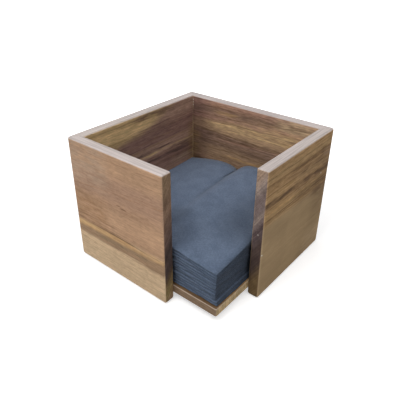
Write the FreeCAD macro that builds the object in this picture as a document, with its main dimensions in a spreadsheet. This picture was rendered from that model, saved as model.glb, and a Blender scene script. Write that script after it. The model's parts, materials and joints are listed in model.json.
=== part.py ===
import FreeCAD, Part
import math
import os
import Sketcher

# Square, open-topped wooden box for folded paper napkins. Its front corner is cut away so
# that the napkins can be gripped. Frame: +Z up, origin on the table under the middle of the
# box, +X to the right, and the open corner at (+X, -Y). All lengths are millimetres.

SIZES = [
    # alias, value, meaning
    ("outer_width", 190, "outside size of the box along X"),
    ("outer_depth", 190, "outside size of the box along Y"),
    ("wall_height", 140, "height of the four walls"),
    ("wall_thickness", 12, "thickness of the wall boards"),
    ("front_opening", 63, "part of the front left open at the cut-away corner"),
    ("side_opening", 63, "part of the right side left open at the cut-away corner"),
    ("corner_round", 4, "radius of the upright outer edges at the mitred corners"),
    ("edge_round", 1.8, "radius of the eased edges of the wall boards"),
    ("foot_round", 3.5, "radius of the bottom edges of the walls"),
    ("base_thickness", 9, "thickness of the base panel"),
    ("base_rise", 7.5, "height of the base panel's underside above the table"),
    ("base_corner_round", 2, "radius of the base panel's free corner"),
    ("base_edge_round", 1, "radius of the base panel's eased edges"),
    ("spline_width", 8, "width of a mitre spline, across the joint"),
    ("spline_thickness", 3, "thickness of a mitre spline"),
    ("spline_setback", 4.2, "distance of a spline's middle from the inner wall faces"),
    ("spline_end_margin", 14, "wood left above and below a spline"),
    ("dowel_diameter", 5, "diameter of the base dowels"),
    ("dowel_depth_wall", 8, "length of a base dowel inside the wall"),
    ("dowel_depth_base", 12, "length of a base dowel inside the base panel"),
    ("dowel_margin", 25, "distance of a base dowel from the end of the wall's inner face"),
    ("dowel_chamfer", 0.6, "chamfer on the ends of a dowel"),
    ("glue_gap", 0.1, "room for glue around splines and dowels"),
    ("napkin_clearance", 1.25, "gap between the folded napkins and the walls"),
    ("napkin_gap", 0.3, "gap between one napkin and the next"),
    ("pile_open_corner", 39, "height of the pile at the open corner"),
    ("pile_front_left", 36, "height of the pile at the front left corner"),
    ("pile_back_left", 41.5, "height of the pile at the back left corner"),
    ("pile_back_right", 60, "height of the pile at the back right corner"),
    ("pile_crown", 7, "extra height of the pile half way across"),
    ("crease_depth", 11, "depth of the crease in the pile at the back wall"),
    ("crease_spread", 13, "distance over which the crease fades out sideways"),
    ("crease_back_offset", 17, "distance of the crease left of the middle, at the back"),
    ("crease_front_offset", 1, "distance of the crease left of the middle, at the front"),
]

NAPKIN_COUNT = 13
STATIONS_ACROSS = 13    # points of a napkin's surface along X
STATIONS_DEEP = 9       # points of a napkin's surface along Y
TINY = 1e-4             # tolerance for picking edges by their place
FACING_Y = "XZ_Plane"   # sketch plane whose normal is -Y
FACING_X = "YZ_Plane"   # sketch plane whose normal is +X

# Expressions that several pieces share
INNER_WIDTH = "(Sizes.outer_width - 2 * Sizes.wall_thickness)"
INNER_DEPTH = "(Sizes.outer_depth - 2 * Sizes.wall_thickness)"
FRONT_LENGTH = "(Sizes.outer_width - Sizes.front_opening)"
SIDE_LENGTH = "(Sizes.outer_depth - Sizes.side_opening)"
BASE_MIDDLE = "(Sizes.base_rise + Sizes.base_thickness / 2)"
BOARD_EASE = "min(Sizes.edge_round; 0.4 * Sizes.wall_thickness)"
BASE_EASE = "min(Sizes.base_edge_round; 0.4 * Sizes.base_thickness)"
FOOT_EASE = "min(Sizes.foot_round; 0.4 * Sizes.wall_thickness; 0.9 * Sizes.corner_round)"

doc = FreeCAD.newDocument("NapkinBox")
sheet = doc.addObject("Spreadsheet::Sheet", "Sizes")
for row, (alias, value, meaning) in enumerate(SIZES, start=1):
    sheet.set(f"A{row}", meaning)
    sheet.set(f"B{row}", str(value))
    sheet.setAlias(f"B{row}", alias)
doc.recompute()


def size(alias):
    """Value of one cell of the sheet."""
    return float(sheet.get(alias))


def value_of(expression):
    """Number that an expression of the sheet gives now."""
    return float(sheet.evalExpression(expression))


# ---- sketches and features of a body --------------------------------------------------------

def add_body(label, place, turn=0):
    """Body at a place of three expressions, turned about Z by so many degrees."""
    body = doc.addObject("PartDesign::Body", label)
    body.Label = label
    body.Placement = FreeCAD.Placement(
        FreeCAD.Vector(), FreeCAD.Rotation(FreeCAD.Vector(0, 0, 1), turn))
    for axis, expression in zip("xyz", place):
        body.setExpression(f"Placement.Base.{axis}", expression)
    return body


def add_sketch(body, name, offset, role="XY_Plane"):
    """Sketch on an origin plane of the body, moved along its normal by an expression."""
    plane = next(item for item in body.Origin.OriginFeatures if item.Role == role)
    sketch = body.newObject("Sketcher::SketchObject", name)
    sketch.AttachmentSupport = [(plane, "")]
    sketch.MapMode = "FlatFace"
    sketch.setExpression("AttachmentOffset.Base.z", offset)
    return sketch


def constrain(sketch, expression, kind, *references):
    """Dimension of a sketch that follows an expression."""
    index = sketch.addConstraint(
        Sketcher.Constraint(kind, *references, value_of(expression)))
    sketch.setExpression(f"Constraints[{index}]", expression)


def pin_point(sketch, curve, point, place):
    """Ties one point of a curve to the two expressions of its place."""
    for kind, expression in zip(("DistanceX", "DistanceY"), place):
        constrain(sketch, expression, kind, -1, 1, curve, point)


def arc_between(start, end, radius):
    """Arc that runs anticlockwise from start to end."""
    chord = end - start
    inward = FreeCAD.Vector(-chord.y, chord.x, 0).normalize()
    centre = (start + end) / 2 + inward * math.sqrt(radius ** 2 - chord.Length ** 2 / 4)
    first, last = (math.atan2(point.y - centre.y, point.x - centre.x)
                   for point in (start, end))
    if last < first:
        last += 2 * math.pi
    circle = Part.Circle(centre, FreeCAD.Vector(0, 0, 1), radius)
    return Part.ArcOfCircle(circle, first, last)


def draw_outline(sketch, corners):
    """Closed anticlockwise outline through the corners, each a pair of expressions.

    A corner with a third expression starts an arc of that radius to the next corner.
    """
    points = [FreeCAD.Vector(value_of(corner[0]), value_of(corner[1]), 0)
              for corner in corners]
    for index, corner in enumerate(corners):
        start = points[index]
        end = points[(index + 1) % len(corners)]
        if len(corner) == 3:
            sketch.addGeometry(arc_between(start, end, value_of(corner[2])))
        else:
            sketch.addGeometry(Part.LineSegment(start, end))
    for index, corner in enumerate(corners):
        following = (index + 1) % len(corners)
        sketch.addConstraint(Sketcher.Constraint("Coincident", index, 2, following, 1))
        pin_point(sketch, index, 1, corner[:2])
        if len(corner) == 3:
            constrain(sketch, corner[2], "Radius", index)


def draw_circles(sketch, places, radius):
    """Circles of one radius at places that are pairs of expressions."""
    for place in places:
        centre = FreeCAD.Vector(value_of(place[0]), value_of(place[1]), 0)
        circle = Part.Circle(centre, FreeCAD.Vector(0, 0, 1), value_of(radius))
        index = sketch.addGeometry(circle)
        pin_point(sketch, index, 3, place)
        constrain(sketch, radius, "Radius", index)


def add_pad(body, sketch, name, length):
    pad = body.newObject("PartDesign::Pad", name)
    pad.Profile = sketch
    pad.setExpression("Length", length)
    sketch.Visibility = False
    doc.recompute()
    return pad


def add_pocket(body, sketch, name, length, with_normal):
    """Pocket along the sketch's normal, or against it, that has to remove wood."""
    before = body.Shape.Volume
    pocket = body.newObject("PartDesign::Pocket", name)
    pocket.Profile = sketch
    pocket.Reversed = with_normal
    pocket.setExpression("Length", length)
    sketch.Visibility = False
    doc.recompute()
    if not body.Shape.Volume < before:
        raise ValueError(f"{name} cuts nothing")
    return pocket


def add_fillet(body, name, edges, radius):
    """Fillet on the edges of the body's tip for which the test is true."""
    tip = body.Tip
    picked = [f"Edge{index}" for index, edge in enumerate(tip.Shape.Edges, start=1)
              if edges(edge)]
    fillet = body.newObject("PartDesign::Fillet", name)
    fillet.Base = (tip, picked)
    fillet.setExpression("Radius", radius)
    doc.recompute()
    return fillet


def ends(edge):
    """The two end points of an edge."""
    return [vertex.Point for vertex in edge.Vertexes]


def is_level(edge, height):
    return all(abs(point.z - height) < TINY for point in ends(edge))


# ---- mitre splines --------------------------------------------------------------------------

def spline_outline(gap, far_end=None):
    """Section of a mitre spline, or of its groove with a gap all round.

    The corner's outer edge is the origin and the walls run along +X and +Y. With far_end,
    the outline is mirrored to the other end of a wall of that length.
    """
    centre = "(Sizes.wall_thickness - Sizes.spline_setback)"
    reach = f"((Sizes.spline_width / 2 + {gap}) * cos(45))"
    half = f"((Sizes.spline_thickness / 2 + {gap}) * cos(45))"
    corners = [
        (f"{centre} - {reach} - {half}", f"{centre} + {reach} - {half}"),
        (f"{centre} + {reach} - {half}", f"{centre} - {reach} - {half}"),
        (f"{centre} + {reach} + {half}", f"{centre} - {reach} + {half}"),
        (f"{centre} - {reach} + {half}", f"{centre} + {reach} + {half}"),
    ]
    if far_end:
        corners = [(f"{far_end} - ({along})", across)
                   for along, across in reversed(corners)]
    return corners


def make_spline(label, place, turn):
    """Loose tongue of wood that strengthens one mitred corner."""
    body = add_body(label, place, turn)
    sketch = add_sketch(body, f"{label}_section", "Sizes.spline_end_margin")
    draw_outline(sketch, spline_outline("0"))
    add_pad(body, sketch, f"{label}_pad", "Sizes.wall_height - 2 * Sizes.spline_end_margin")
    return body


# ---- walls ----------------------------------------------------------------------------------

def wall_outline(length, start_mitred, end_mitred):
    """Plan of a wall: outer face along Y = 0, inner face at the wall's thickness."""
    thick = "Sizes.wall_thickness"
    rounding = "Sizes.corner_round"
    tip = f"({rounding} * (1 - cos(45)))"
    if start_mitred:
        outer = [(tip, tip, rounding), (rounding, "0")]
        inner = [(thick, thick)]
    else:
        outer = [("0", "0")]
        inner = [("0", thick)]
    if end_mitred:
        outer += [(f"{length} - {rounding}", "0", rounding), (f"{length} - {tip}", tip)]
        inner = [(f"{length} - {thick}", thick)] + inner
    else:
        outer += [(length, "0")]
        inner = [(length, thick)] + inner
    return outer + inner


def make_wall(label, length, place, turn, start_mitred=True, end_mitred=True):
    """Wall board with its grooves for the splines and its holes for the base dowels."""
    body = add_body(label, place, turn)
    plan = add_sketch(body, f"{label}_plan", "0")
    draw_outline(plan, wall_outline(length, start_mitred, end_mitred))
    add_pad(body, plan, f"{label}_board", "Sizes.wall_height")

    first_hole = "Sizes.dowel_margin"
    last_hole = f"{length} - Sizes.dowel_margin"
    grooves = []
    if start_mitred:
        first_hole += " + Sizes.wall_thickness"
        grooves.append(spline_outline("Sizes.glue_gap"))
    if end_mitred:
        last_hole += " - Sizes.wall_thickness"
        grooves.append(spline_outline("Sizes.glue_gap", length))
    for number, outline in enumerate(grooves, start=1):
        groove = add_sketch(body, f"{label}_groove_{number}",
                            "Sizes.spline_end_margin - Sizes.glue_gap")
        draw_outline(groove, outline)
        add_pocket(body, groove, f"{label}_groove_cut_{number}",
                   "Sizes.wall_height - 2 * (Sizes.spline_end_margin - Sizes.glue_gap)",
                   with_normal=True)

    holes = add_sketch(body, f"{label}_dowel_holes", "-Sizes.wall_thickness", FACING_Y)
    draw_circles(holes, [(first_hole, BASE_MIDDLE), (last_hole, BASE_MIDDLE)],
                 "Sizes.dowel_diameter / 2 + Sizes.glue_gap")
    add_pocket(body, holes, f"{label}_dowel_cut", "Sizes.dowel_depth_wall + Sizes.glue_gap",
               with_normal=True)

    far = value_of(length)
    height = size("wall_height")

    def on_mitre(edge):
        at_start = start_mitred and all(abs(point.x - point.y) < TINY
                                        for point in ends(edge))
        at_end = end_mitred and all(abs(far - point.x - point.y) < TINY
                                    for point in ends(edge))
        return at_start or at_end

    def at_square_end(edge):
        square = ([] if start_mitred else [0]) + ([] if end_mitred else [far])
        upright = abs(ends(edge)[0].z - ends(edge)[-1].z) > height / 2
        return upright and any(abs(ends(edge)[0].x - x) < TINY for x in square)

    if not (start_mitred and end_mitred):
        add_fillet(body, f"{label}_end_easing", at_square_end, BOARD_EASE)
    add_fillet(body, f"{label}_rim_easing",
               lambda edge: is_level(edge, height) and not on_mitre(edge), BOARD_EASE)
    add_fillet(body, f"{label}_foot_easing",
               lambda edge: is_level(edge, 0) and not on_mitre(edge), FOOT_EASE)
    return body


# ---- base panel and its dowels --------------------------------------------------------------

# side: sketch plane, place of the panel's edge along that plane's normal, whether a hole
# runs with the normal, and the places of the two dowels along the edge
BASE_SIDES = {
    "front": (FACING_Y, f"{INNER_DEPTH} / 2", False,
              (f"-{INNER_WIDTH} / 2 + Sizes.dowel_margin",
               f"{FRONT_LENGTH} - Sizes.outer_width / 2 - Sizes.dowel_margin")),
    "right": (FACING_X, f"{INNER_WIDTH} / 2", False,
              (f"Sizes.outer_depth / 2 - {SIDE_LENGTH} + Sizes.dowel_margin",
               f"{INNER_DEPTH} / 2 - Sizes.dowel_margin")),
    "back": (FACING_Y, f"-{INNER_DEPTH} / 2", True,
             (f"-{INNER_WIDTH} / 2 + Sizes.dowel_margin",
              f"{INNER_WIDTH} / 2 - Sizes.dowel_margin")),
    "left": (FACING_X, f"-{INNER_WIDTH} / 2", True,
             (f"-{INNER_DEPTH} / 2 + Sizes.dowel_margin",
              f"{INNER_DEPTH} / 2 - Sizes.dowel_margin")),
}


def make_base_panel(label):
    """Panel between the walls, with its edges at the inner wall faces."""
    body = add_body(label, ("0", "0", "0"))
    plan = add_sketch(body, f"{label}_plan", "Sizes.base_rise")
    half_width = f"{INNER_WIDTH} / 2"
    half_depth = f"{INNER_DEPTH} / 2"
    rounding = "Sizes.base_corner_round"
    draw_outline(plan, [
        (f"-{half_width}", f"-{half_depth}"),
        (f"{half_width} - {rounding}", f"-{half_depth}", rounding),
        (half_width, f"-{half_depth} + {rounding}"),
        (half_width, half_depth),
        (f"-{half_width}", half_depth),
    ])
    add_pad(body, plan, f"{label}_board", "Sizes.base_thickness")
    for side, (plane, edge, with_normal, places) in BASE_SIDES.items():
        holes = add_sketch(body, f"{label}_{side}_holes", edge, plane)
        draw_circles(holes, [(place, BASE_MIDDLE) for place in places],
                     "Sizes.dowel_diameter / 2 + Sizes.glue_gap")
        add_pocket(body, holes, f"{label}_{side}_cut",
                   "Sizes.dowel_depth_base + Sizes.glue_gap", with_normal)

    underside = size("base_rise")
    top = underside + size("base_thickness")
    left = -value_of(half_width)
    back = value_of(half_depth)

    def is_free(edge):
        level = is_level(edge, underside) or is_level(edge, top)
        along_left = all(abs(point.x - left) < TINY for point in ends(edge))
        along_back = all(abs(point.y - back) < TINY for point in ends(edge))
        return level and not along_left and not along_back

    add_fillet(body, f"{label}_easing", is_free, BASE_EASE)
    return body


def make_dowel(name, place, axis, angle):
    """Dowel with chamfered ends; it starts at the place and runs along the turned Z axis."""
    rod = doc.addObject("Part::Cylinder", f"{name}_rod")
    rod.Placement = FreeCAD.Placement(FreeCAD.Vector(), FreeCAD.Rotation(axis, angle))
    for direction, expression in zip("xyz", place):
        rod.setExpression(f"Placement.Base.{direction}", expression)
    rod.setExpression("Radius", "Sizes.dowel_diameter / 2")
    rod.setExpression("Height", "Sizes.dowel_depth_wall + Sizes.dowel_depth_base")
    doc.recompute()
    chamfer = min(size("dowel_chamfer"), 0.2 * size("dowel_diameter"))
    rims = [index for index, edge in enumerate(rod.Shape.Edges, start=1)
            if isinstance(edge.Curve, Part.Circle)]
    dowel = doc.addObject("Part::Chamfer", name)
    dowel.Base = rod
    dowel.Edges = [(index, chamfer, chamfer) for index in rims]
    return dowel


def make_dowel_pair(label, side):
    """The two dowels between the base panel and the wall of one side."""
    plane, edge, with_normal, places = BASE_SIDES[side]
    outward = "-Sizes.dowel_depth_wall" if with_normal else "Sizes.dowel_depth_wall"
    dowels = []
    for number, along in enumerate(places, start=1):
        if plane == FACING_Y:
            place = (along, f"-({edge} + {outward})", BASE_MIDDLE)
            axis, angle = FreeCAD.Vector(1, 0, 0), (90 if with_normal else -90)
        else:
            place = (f"{edge} + {outward}", along, BASE_MIDDLE)
            axis, angle = FreeCAD.Vector(0, 1, 0), (90 if with_normal else -90)
        dowels.append(make_dowel(f"{label}_{number}", place, axis, angle))
    pair = doc.addObject("Part::Compound", label)
    pair.Label = label
    pair.Links = dowels
    return pair


# ---- napkins --------------------------------------------------------------------------------

def pile_height(x, y, half_width, half_depth):
    """Height of the pile above the base panel at one place of its plan."""
    across = (x + half_width) / (2 * half_width)
    deep = (y + half_depth) / (2 * half_depth)
    front = size("pile_front_left") * (1 - across) + size("pile_open_corner") * across
    back = size("pile_back_left") * (1 - across) + size("pile_back_right") * across
    crown = size("pile_crown") * math.sin(math.pi * across)
    crease_x = -(size("crease_front_offset") * (1 - deep) + size("crease_back_offset") * deep)
    fade = math.exp(-abs(x - crease_x) / size("crease_spread"))
    crease = size("crease_depth") * deep ** 2 * fade
    return front * (1 - deep) + back * deep + crown - crease


def make_napkin(label, number):
    """One folded napkin: a slab that follows the waves of the pile at its level."""
    half_width = value_of(INNER_WIDTH) / 2 - size("napkin_clearance")
    half_depth = value_of(INNER_DEPTH) / 2 - size("napkin_clearance")
    step_x = 2 * half_width / (STATIONS_ACROSS - 1)
    step_y = 2 * half_depth / (STATIONS_DEEP - 1)
    heights = [[pile_height(step_x * i - half_width, step_y * j - half_depth,
                            half_width, half_depth)
                for j in range(STATIONS_DEEP)] for i in range(STATIONS_ACROSS)]

    def surface(level, lift):
        grid = [[height * level / NAPKIN_COUNT + lift for height in column]
                for column in heights]
        sheet_surface = Part.BSplineSurface()
        sheet_surface.interpolate(grid, -half_width, step_x, -half_depth, step_y)
        return sheet_surface

    lower = surface(number - 1, size("napkin_gap"))
    upper = surface(number, 0)
    u_first, u_last, v_first, v_last = lower.bounds()
    rims = [(face.uIso(u_first), face.uIso(u_last), face.vIso(v_first), face.vIso(v_last))
            for face in (lower, upper)]
    sides = [Part.makeRuledSurface(below.toShape(), above.toShape())
             for below, above in zip(*rims)]
    shell = Part.makeShell([lower.toShape(), upper.toShape()] + sides)
    shell.sewShape()
    napkin = doc.addObject("Part::Feature", label)
    napkin.Label = label
    napkin.Shape = Part.makeSolid(shell)
    base_top = size("base_rise") + size("base_thickness")
    napkin.Placement = FreeCAD.Placement(FreeCAD.Vector(0, 0, base_top), FreeCAD.Rotation())
    return napkin


# ---- the whole box --------------------------------------------------------------------------

LEFT, RIGHT = "-Sizes.outer_width / 2", "Sizes.outer_width / 2"
FRONT, BACK = "-Sizes.outer_depth / 2", "Sizes.outer_depth / 2"

nodes = [
    make_wall("front_wall", FRONT_LENGTH, (LEFT, FRONT, "0"), 0, end_mitred=False),
    make_wall("right_wall", SIDE_LENGTH, (RIGHT, f"{BACK} - {SIDE_LENGTH}", "0"), 90,
              start_mitred=False),
    make_wall("back_wall", "Sizes.outer_width", (RIGHT, BACK, "0"), 180),
    make_wall("left_wall", "Sizes.outer_depth", (LEFT, BACK, "0"), 270),
    make_spline("mitre_spline_front_left", (LEFT, FRONT, "0"), 0),
    make_spline("mitre_spline_back_right", (RIGHT, BACK, "0"), 180),
    make_spline("mitre_spline_back_left", (LEFT, BACK, "0"), 270),
    make_base_panel("base_panel"),
]
nodes += [make_dowel_pair(f"base_dowels_{side}", side) for side in BASE_SIDES]
nodes += [make_napkin(f"napkin_{number:02d}", number)
          for number in range(1, NAPKIN_COUNT + 1)]
doc.recompute()

for item in doc.Objects:
    if "Invalid" in item.State or "Error" in item.State:
        raise ValueError(f"{item.Label} failed: {item.State}")
for node in nodes:
    if node.Shape.isNull() or not node.Shape.isValid() or not node.Shape.Solids:
        raise ValueError(f"{node.Label} has no valid shape")
    if any(solid.Volume <= 0 for solid in node.Shape.Solids):
        raise ValueError(f"{node.Label} is inside out")

os.makedirs("parts", exist_ok=True)
for node in nodes:
    node.Shape.exportStep(f"parts/{node.Label}.step")
    print(f"{node.Label}: {len(node.Shape.Solids)} solid(s), {node.Shape.Volume:.0f} mm3")
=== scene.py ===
import json
import math
import bpy
import numpy as np
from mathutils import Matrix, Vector

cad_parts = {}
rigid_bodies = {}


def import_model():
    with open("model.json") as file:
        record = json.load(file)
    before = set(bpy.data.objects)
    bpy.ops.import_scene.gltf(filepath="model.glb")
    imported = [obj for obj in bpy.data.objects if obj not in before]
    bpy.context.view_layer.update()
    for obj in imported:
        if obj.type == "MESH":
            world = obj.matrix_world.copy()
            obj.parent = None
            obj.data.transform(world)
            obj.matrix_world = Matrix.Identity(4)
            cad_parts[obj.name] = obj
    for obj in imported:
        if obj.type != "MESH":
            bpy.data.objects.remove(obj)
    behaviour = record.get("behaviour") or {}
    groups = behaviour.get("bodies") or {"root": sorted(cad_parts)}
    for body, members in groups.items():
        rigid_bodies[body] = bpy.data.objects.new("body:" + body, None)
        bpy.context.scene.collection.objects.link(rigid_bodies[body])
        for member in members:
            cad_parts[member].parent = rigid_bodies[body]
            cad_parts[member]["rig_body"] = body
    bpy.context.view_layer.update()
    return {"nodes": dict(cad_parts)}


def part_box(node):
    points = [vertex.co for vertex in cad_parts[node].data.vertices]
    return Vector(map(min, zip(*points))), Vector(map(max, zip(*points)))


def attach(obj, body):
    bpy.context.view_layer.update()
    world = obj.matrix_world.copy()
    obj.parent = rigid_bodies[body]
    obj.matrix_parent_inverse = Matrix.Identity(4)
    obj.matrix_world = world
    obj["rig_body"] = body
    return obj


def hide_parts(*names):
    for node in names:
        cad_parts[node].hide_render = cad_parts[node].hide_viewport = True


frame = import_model()

MM = 0.001
NAPKINS = sorted(name for name in frame["nodes"] if name.startswith("napkin_"))

# Faces of the boards in metres, from the frame
LEFT_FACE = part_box("left_wall")[0].x
RIGHT_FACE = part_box("right_wall")[1].x
FRONT_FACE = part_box("front_wall")[0].y
BACK_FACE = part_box("back_wall")[1].y
INNER_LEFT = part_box("left_wall")[1].x
INNER_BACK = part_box("back_wall")[0].y
FRONT_WALL_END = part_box("front_wall")[1].x
RIGHT_WALL_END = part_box("right_wall")[0].y
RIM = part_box("front_wall")[1].z
BASE_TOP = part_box("base_panel")[1].z
BASE_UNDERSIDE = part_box("base_panel")[0].z


# ---- building materials ----

MOST_NOISE = (0.3, 0.7)    # range that most values of a noise lie in


def srgb(red, green, blue):
    """Linear colour, with alpha, of three sRGB values from 0 to 255."""
    def linear(value):
        share = value / 255
        return share / 12.92 if share <= 0.04045 else ((share + 0.055) / 1.055) ** 2.4
    return (linear(red), linear(green), linear(blue), 1.0)


def grey(value):
    return (value, value, value, 1.0)


class NodeTree:
    """A node tree, built with short calls that return output sockets."""

    def __init__(self, tree):
        self.tree = tree

    def node(self, kind, sockets=(), **settings):
        """Node with its settings, and (socket, value or source) pairs for its inputs."""
        made = self.tree.nodes.new(kind)
        for setting, value in settings.items():
            setattr(made, setting, value)
        for socket, value in sockets:
            if isinstance(value, bpy.types.NodeSocket):
                self.tree.links.new(value, made.inputs[socket])
            else:
                made.inputs[socket].default_value = value
        return made

    def math(self, operation, first, second=0.0, third=0.0):
        made = self.node("ShaderNodeMath", ((0, first), (1, second), (2, third)),
                         operation=operation)
        return made.outputs[0]

    def product(self, first, *others):
        for other in others:
            first = self.math("MULTIPLY", first, other)
        return first

    def distance(self, first, second):
        return self.math("ABSOLUTE", self.math("SUBTRACT", first, second))

    def vector(self, x, y, z):
        return self.node("ShaderNodeCombineXYZ", ((0, x), (1, y), (2, z))).outputs[0]

    def split(self, vector):
        return self.node("ShaderNodeSeparateXYZ", ((0, vector),)).outputs

    def length(self, vector):
        made = self.node("ShaderNodeVectorMath", ((0, vector),), operation="LENGTH")
        return made.outputs["Value"]

    def noise(self, vector, detail=2.0):
        """Noise of about one feature per unit of the vector."""
        made = self.node("ShaderNodeTexNoise",
                         (("Vector", vector), ("Scale", 1.0), ("Detail", detail),
                          ("Roughness", 0.5)))
        return made.outputs["Fac"]

    def spread(self, value, low, high, to_low=0.0, to_high=1.0):
        """Value mapped from one range to another with smooth, clamped ends."""
        made = self.node("ShaderNodeMapRange",
                         ((0, value), (1, low), (2, high), (3, to_low), (4, to_high)),
                         interpolation_type="SMOOTHSTEP")
        return made.outputs[0]

    def ramp(self, value, stops):
        made = self.node("ShaderNodeValToRGB", ((0, value),))
        elements = made.color_ramp.elements
        while len(elements) < len(stops):
            elements.new(0.5)
        for element, (position, colour) in zip(elements, sorted(stops)):
            element.position = position
            element.color = colour
        return made.outputs[0]

    def mix(self, share, first, second, blend="MIX"):
        made = self.node("ShaderNodeMix", (("Factor", share), (6, first), (7, second)),
                         data_type="RGBA", blend_type=blend)
        return made.outputs[2]

    def multiplied(self, share, colour, tone):
        """Colour multiplied by the tone, by this share."""
        return self.mix(share, colour, self.mix(1.0, colour, tone, "MULTIPLY"))

    def tint(self, colour, value, amount):
        """Colour made lighter where the value is over a half and darker where it is under."""
        swing = self.math("MULTIPLY_ADD", value, 2.0, -1.0)
        factor = self.math("MULTIPLY_ADD", swing, amount, 1.0)
        return self.mix(1.0, colour, self.vector(factor, factor, factor), "MULTIPLY")


class Shader(NodeTree):
    """The node tree of a new material."""

    def __init__(self, name):
        self.material = bpy.data.materials.new(name)
        self.material.use_nodes = True
        super().__init__(self.material.node_tree)
        self.tree.nodes.clear()

    def object_place(self):
        """Place on the piece, in metres of the shared frame."""
        return self.node("ShaderNodeTexCoord").outputs["Object"]

    def true_normal(self):
        """How much the surface faces right, back and up, each from -1 to 1."""
        return self.split(self.node("ShaderNodeNewGeometry").outputs["True Normal"])

    def end(self, shader):
        """Material with this node as its surface."""
        output = self.node("ShaderNodeOutputMaterial")
        self.tree.links.new(shader.outputs[0], output.inputs[0])
        return self.material

    def surface(self, height, depth, **inputs):
        """Material with a principled surface and a bump of the given depth in metres."""
        bump = self.node("ShaderNodeBump", (("Strength", 1.0), ("Distance", depth),
                                            ("Height", height)))
        shader = self.node("ShaderNodeBsdfPrincipled",
                           [(name.replace("_", " "), value) for name, value in inputs.items()]
                           + [("Normal", bump.outputs[0])])
        return self.end(shader)


# ---- the wooden box: materials ----

# Tones of oiled acacia
SAPWOOD = srgb(195, 169, 137)
CREAM = srgb(198, 171, 138)
STRAW = srgb(218, 186, 137)
SAND = srgb(177, 143, 114)
CLAY = srgb(163, 131, 108)
ROSE = srgb(155, 120, 94)
BISCUIT = srgb(171, 146, 113)
BRASS = srgb(178, 148, 110)
CARAMEL = srgb(171, 139, 102)
BUTTER = srgb(193, 157, 112)
TEAK = srgb(122, 99, 80)
CHESTNUT = srgb(112, 90, 72)
WALNUT = srgb(126, 101, 84)
FERN = srgb(152, 130, 88)
PALE = srgb(171, 145, 123)
RUST = srgb(158, 124, 94)
GOLD = srgb(187, 151, 108)
AMBER = srgb(156, 122, 81)
TAN = srgb(160, 131, 104)
DUSK = srgb(150, 123, 97)
MOSS = srgb(126, 108, 84)
LINE = srgb(118, 92, 70)
CINNAMON = srgb(170, 133, 113)
UMBER = srgb(112, 88, 66)
OCHRE = srgb(154, 126, 84)
FLAX = srgb(181, 149, 116)
COCOA = srgb(135, 109, 92)
MOCHA = srgb(172, 140, 122)
BARK = srgb(146, 115, 104)
PEWTER = srgb(145, 129, 120)
DUSTY = srgb(121, 106, 102)
SMOKE = srgb(104, 84, 75)
EBONY = srgb(80, 66, 61)
NUT = srgb(137, 114, 90)
PLUM = srgb(88, 75, 74)
ASH = srgb(130, 108, 87)
WHEAT = srgb(192, 166, 125)
TOFFEE = srgb(116, 95, 68)

# Tones of what lies on the wood or in it, and of the painted sheen and painted highlight on it
RIM_SHEEN_TONE = srgb(183, 174, 171)
ARRIS_HIGHLIGHT = srgb(226, 210, 192)
KNOT = srgb(84, 58, 42)
GLUE = srgb(186, 162, 130)
PALE_SPECK = srgb(222, 214, 200)

# Tones that the wood's own colour is multiplied by
GROWTH_LINE_TINT = srgb(140, 112, 100)
PORE_TINT = srgb(120, 92, 78)
# the cool darkening tone is partly the wood's figure and partly painted shade in the back wall's
# inner corner
COOL_DARKENING = srgb(206, 203, 212)

# Beech of the hidden joinery, with the width and length of its fibres
BEECH_DARK, BEECH_LIGHT = srgb(176, 138, 98), srgb(212, 180, 140)
BEECH_FIBRES = (0.6 * MM, 8 * MM)

WOOD_RELIEF = 0.05 * MM    # depth of the fibres
PORE_DEPTH = 1.3           # depth of the pores, with that of the fibres as 1
LEAST_ROUGHNESS, ROUGHNESS_OF_FIBRES = 0.46, 0.16


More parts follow.
